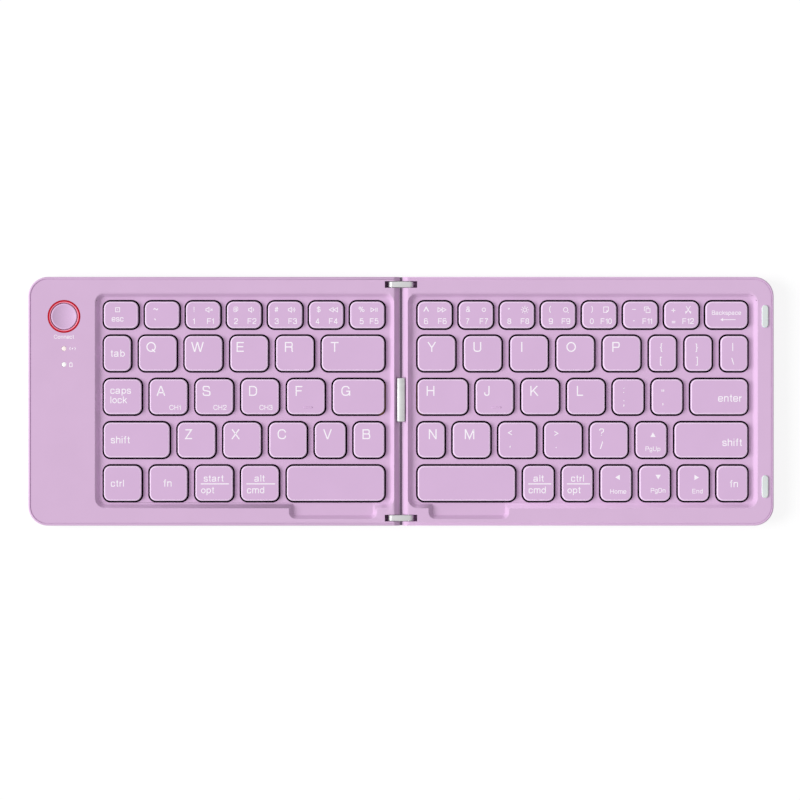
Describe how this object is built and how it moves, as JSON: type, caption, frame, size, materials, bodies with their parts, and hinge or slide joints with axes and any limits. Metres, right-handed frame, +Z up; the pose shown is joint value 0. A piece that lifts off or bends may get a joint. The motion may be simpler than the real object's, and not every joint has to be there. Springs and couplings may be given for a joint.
{
  "type": "folding keyboard",
  "caption": "Slim folding keyboard in halves joined by a hinge with parallel axes, with sprung scissor keys, a round connect button and rubber feet.",
  "frame": {"origin": "under the middle of the seam, half way from front to back, on the surface that the feet stand on", "axes": "+X to the right half, +Y to the back, +Z up out of the key tops"},
  "size_m": [0.29, 0.0968, 0.0079],
  "materials": {
    "case_plastic": "fine satin moulded plastic, lilac",
    "key_plastic": "satin moulded plastic, lilac",
    "switch_steel": "plain stamped sheet",
    "membrane_film": "clear film with printed tracks",
    "dome_rubber": "smooth moulded rubber",
    "scissor_plastic": "natural moulded plastic",
    "board": "green solder mask",
    "battery_pouch": "foil pouch",
    "port_steel": "bright stamped shell",
    "switch_body": "black moulded plastic",
    "light_pipe": "clear white light guide",
    "ring_red": "glossy red moulded plastic",
    "foot_rubber": "soft matte rubber",
    "screw_steel": "plated steel",
    "pin_steel": "ground steel",
    "magnet_metal": "nickel plated",
    "link_metal": "satin silver-grey metal",
    "spine_steel": "blackened steel",
    "cable_film": "amber flat cable",
    "bumper_rubber": "pale soft rubber"
  },
  "bodies": {
    "left_half": {"left_top_case": "case_plastic", "left_bottom_cover": "case_plastic", "left_switch_plate": "switch_steel", "left_membrane": "membrane_film", "left_domes": "dome_rubber", "left_scissors": "scissor_plastic", "left_feet": "foot_rubber", "left_screws": "screw_steel", "left_hinge_pins": "pin_steel", "left_magnets": "magnet_metal", "main_board": "board", "battery": "battery_pouch", "charging_port": "port_steel", "connect_switch": "switch_body", "indicator_lights": "light_pipe", "connect_ring": "ring_red"},
    "hinge_links": {"end_links": "link_metal", "hinge_spine": "spine_steel", "cable_cover": "link_metal", "ribbon_cable": "cable_film"},
    "right_half": {"right_top_case": "case_plastic", "right_bottom_cover": "case_plastic", "right_switch_plate": "switch_steel", "right_membrane": "membrane_film", "right_domes": "dome_rubber", "right_scissors": "scissor_plastic", "right_feet": "foot_rubber", "right_screws": "screw_steel", "right_hinge_pins": "pin_steel", "right_magnets": "magnet_metal", "closing_bumpers": "bumper_rubber"},
    "connect_button": {"connect_button": "key_plastic"},
    "key_esc": {"key_esc": "key_plastic"},
    "keys_left_numbers": {"keys_left_numbers": "key_plastic"},
    "key_tab": {"key_tab": "key_plastic"},
    "keys_left_upper": {"keys_left_upper": "key_plastic"},
    "key_caps_lock": {"key_caps_lock": "key_plastic"},
    "keys_left_home": {"keys_left_home": "key_plastic"},
    "key_left_shift": {"key_left_shift": "key_plastic"},
    "keys_left_lower": {"keys_left_lower": "key_plastic"},
    "key_left_ctrl": {"key_left_ctrl": "key_plastic"},
    "key_left_fn": {"key_left_fn": "key_plastic"},
    "key_menu": {"key_menu": "key_plastic"},
    "key_left_alt": {"key_left_alt": "key_plastic"},
    "key_left_space": {"key_left_space": "key_plastic"},
    "keys_right_numbers": {"keys_right_numbers": "key_plastic"},
    "key_backspace": {"key_backspace": "key_plastic"},
    "keys_right_upper": {"keys_right_upper": "key_plastic"},
    "keys_right_home": {"keys_right_home": "key_plastic"},
    "key_enter": {"key_enter": "key_plastic"},
    "keys_right_lower": {"keys_right_lower": "key_plastic"},
    "key_up_arrow": {"key_up_arrow": "key_plastic"},
    "key_right_shift": {"key_right_shift": "key_plastic"},
    "key_right_space": {"key_right_space": "key_plastic"},
    "key_right_alt": {"key_right_alt": "key_plastic"},
    "key_right_ctrl": {"key_right_ctrl": "key_plastic"},
    "key_left_arrow": {"key_left_arrow": "key_plastic"},
    "key_down_arrow": {"key_down_arrow": "key_plastic"},
    "key_right_arrow": {"key_right_arrow": "key_plastic"},
    "key_right_fn": {"key_right_fn": "key_plastic"}
  },
  "joints": [
    {"name": "fold_left", "type": "hinge", "parent": "left_half", "child": "hinge_links", "pos_m": [-0.0034, 0, 0.0043], "axis": [0, -1, 0], "range_deg": [0, 90], "deforming": ["ribbon_cable"]},
    {"name": "fold_right", "type": "hinge", "parent": "hinge_links", "child": "right_half", "pos_m": [0.0034, 0, 0.0043], "axis": [0, -1, 0], "range_deg": [0, 90], "deforming": ["ribbon_cable"]},
    {"name": "connect_press", "type": "slide", "parent": "left_half", "child": "connect_button", "axis": [0, 0, -1], "range_m": [0, 0.0004], "stiffness_N_per_m": 900, "springref_m": -0.0003},
    {"name": "key_press_esc", "type": "slide", "parent": "left_half", "child": "key_esc", "axis": [0, 0, -1], "range_m": [0, 0.0015], "stiffness_N_per_m": 350, "springref_m": -0.0008, "deforming": ["left_domes", "left_scissors"]},
    {"name": "key_press_left_numbers", "type": "slide", "parent": "left_half", "child": "keys_left_numbers", "axis": [0, 0, -1], "range_m": [0, 0.0015], "stiffness_N_per_m": 350, "springref_m": -0.0008, "deforming": ["left_domes", "left_scissors"]},
    {"name": "key_press_tab", "type": "slide", "parent": "left_half", "child": "key_tab", "axis": [0, 0, -1], "range_m": [0, 0.0015], "stiffness_N_per_m": 350, "springref_m": -0.0008, "deforming": ["left_domes", "left_scissors"]},
    {"name": "key_press_left_upper", "type": "slide", "parent": "left_half", "child": "keys_left_upper", "axis": [0, 0, -1], "range_m": [0, 0.0015], "stiffness_N_per_m": 350, "springref_m": -0.0008, "deforming": ["left_domes", "left_scissors"]},
    {"name": "key_press_caps_lock", "type": "slide", "parent": "left_half", "child": "key_caps_lock", "axis": [0, 0, -1], "range_m": [0, 0.0015], "stiffness_N_per_m": 350, "springref_m": -0.0008, "deforming": ["left_domes", "left_scissors"]},
    {"name": "key_press_left_home", "type": "slide", "parent": "left_half", "child": "keys_left_home", "axis": [0, 0, -1], "range_m": [0, 0.0015], "stiffness_N_per_m": 350, "springref_m": -0.0008, "deforming": ["left_domes", "left_scissors"]},
    {"name": "key_press_left_shift", "type": "slide", "parent": "left_half", "child": "key_left_shift", "axis": [0, 0, -1], "range_m": [0, 0.0015], "stiffness_N_per_m": 350, "springref_m": -0.0008, "deforming": ["left_domes", "left_scissors"]},
    {"name": "key_press_left_lower", "type": "slide", "parent": "left_half", "child": "keys_left_lower", "axis": [0, 0, -1], "range_m": [0, 0.0015], "stiffness_N_per_m": 350, "springref_m": -0.0008, "deforming": ["left_domes", "left_scissors"]},
    {"name": "key_press_left_ctrl", "type": "slide", "parent": "left_half", "child": "key_left_ctrl", "axis": [0, 0, -1], "range_m": [0, 0.0015], "stiffness_N_per_m": 350, "springref_m": -0.0008, "deforming": ["left_domes", "left_scissors"]},
    {"name": "key_press_left_fn", "type": "slide", "parent": "left_half", "child": "key_left_fn", "axis": [0, 0, -1], "range_m": [0, 0.0015], "stiffness_N_per_m": 350, "springref_m": -0.0008, "deforming": ["left_domes", "left_scissors"]},
    {"name": "key_press_menu", "type": "slide", "parent": "left_half", "child": "key_menu", "axis": [0, 0, -1], "range_m": [0, 0.0015], "stiffness_N_per_m": 350, "springref_m": -0.0008, "deforming": ["left_domes", "left_scissors"]},
    {"name": "key_press_left_alt", "type": "slide", "parent": "left_half", "child": "key_left_alt", "axis": [0, 0, -1], "range_m": [0, 0.0015], "stiffness_N_per_m": 350, "springref_m": -0.0008, "deforming": ["left_domes", "left_scissors"]},
    {"name": "key_press_left_space", "type": "slide", "parent": "left_half", "child": "key_left_space", "axis": [0, 0, -1], "range_m": [0, 0.0015], "stiffness_N_per_m": 350, "springref_m": -0.0008, "deforming": ["left_domes", "left_scissors"]},
    {"name": "key_press_right_numbers", "type": "slide", "parent": "right_half", "child": "keys_right_numbers", "axis": [0, 0, -1], "range_m": [0, 0.0015], "stiffness_N_per_m": 350, "springref_m": -0.0008, "deforming": ["right_domes", "right_scissors"]},
    {"name": "key_press_backspace", "type": "slide", "parent": "right_half", "child": "key_backspace", "axis": [0, 0, -1], "range_m": [0, 0.0015], "stiffness_N_per_m": 350, "springref_m": -0.0008, "deforming": ["right_domes", "right_scissors"]},
    {"name": "key_press_right_upper", "type": "slide", "parent": "right_half", "child": "keys_right_upper", "axis": [0, 0, -1], "range_m": [0, 0.0015], "stiffness_N_per_m": 350, "springref_m": -0.0008, "deforming": ["right_domes", "right_scissors"]},
    {"name": "key_press_right_home", "type": "slide", "parent": "right_half", "child": "keys_right_home", "axis": [0, 0, -1], "range_m": [0, 0.0015], "stiffness_N_per_m": 350, "springref_m": -0.0008, "deforming": ["right_domes", "right_scissors"]},
    {"name": "key_press_enter", "type": "slide", "parent": "right_half", "child": "key_enter", "axis": [0, 0, -1], "range_m": [0, 0.0015], "stiffness_N_per_m": 350, "springref_m": -0.0008, "deforming": ["right_domes", "right_scissors"]},
    {"name": "key_press_right_lower", "type": "slide", "parent": "right_half", "child": "keys_right_lower", "axis": [0, 0, -1], "range_m": [0, 0.0015], "stiffness_N_per_m": 350, "springref_m": -0.0008, "deforming": ["right_domes", "right_scissors"]},
    {"name": "key_press_up_arrow", "type": "slide", "parent": "right_half", "child": "key_up_arrow", "axis": [0, 0, -1], "range_m": [0, 0.0015], "stiffness_N_per_m": 350, "springref_m": -0.0008, "deforming": ["right_domes", "right_scissors"]},
    {"name": "key_press_right_shift", "type": "slide", "parent": "right_half", "child": "key_right_shift", "axis": [0, 0, -1], "range_m": [0, 0.0015], "stiffness_N_per_m": 350, "springref_m": -0.0008, "deforming": ["right_domes", "right_scissors"]},
    {"name": "key_press_right_space", "type": "slide", "parent": "right_half", "child": "key_right_space", "axis": [0, 0, -1], "range_m": [0, 0.0015], "stiffness_N_per_m": 350, "springref_m": -0.0008, "deforming": ["right_domes", "right_scissors"]},
    {"name": "key_press_right_alt", "type": "slide", "parent": "right_half", "child": "key_right_alt", "axis": [0, 0, -1], "range_m": [0, 0.0015], "stiffness_N_per_m": 350, "springref_m": -0.0008, "deforming": ["right_domes", "right_scissors"]},
    {"name": "key_press_right_ctrl", "type": "slide", "parent": "right_half", "child": "key_right_ctrl", "axis": [0, 0, -1], "range_m": [0, 0.0015], "stiffness_N_per_m": 350, "springref_m": -0.0008, "deforming": ["right_domes", "right_scissors"]},
    {"name": "key_press_left_arrow", "type": "slide", "parent": "right_half", "child": "key_left_arrow", "axis": [0, 0, -1], "range_m": [0, 0.0015], "stiffness_N_per_m": 350, "springref_m": -0.0008, "deforming": ["right_domes", "right_scissors"]},
    {"name": "key_press_down_arrow", "type": "slide", "parent": "right_half", "child": "key_down_arrow", "axis": [0, 0, -1], "range_m": [0, 0.0015], "stiffness_N_per_m": 350, "springref_m": -0.0008, "deforming": ["right_domes", "right_scissors"]},
    {"name": "key_press_right_arrow", "type": "slide", "parent": "right_half", "child": "key_right_arrow", "axis": [0, 0, -1], "range_m": [0, 0.0015], "stiffness_N_per_m": 350, "springref_m": -0.0008, "deforming": ["right_domes", "right_scissors"]},
    {"name": "key_press_right_fn", "type": "slide", "parent": "right_half", "child": "key_right_fn", "axis": [0, 0, -1], "range_m": [0, 0.0015], "stiffness_N_per_m": 350, "springref_m": -0.0008, "deforming": ["right_domes", "right_scissors"]}
  ]
}
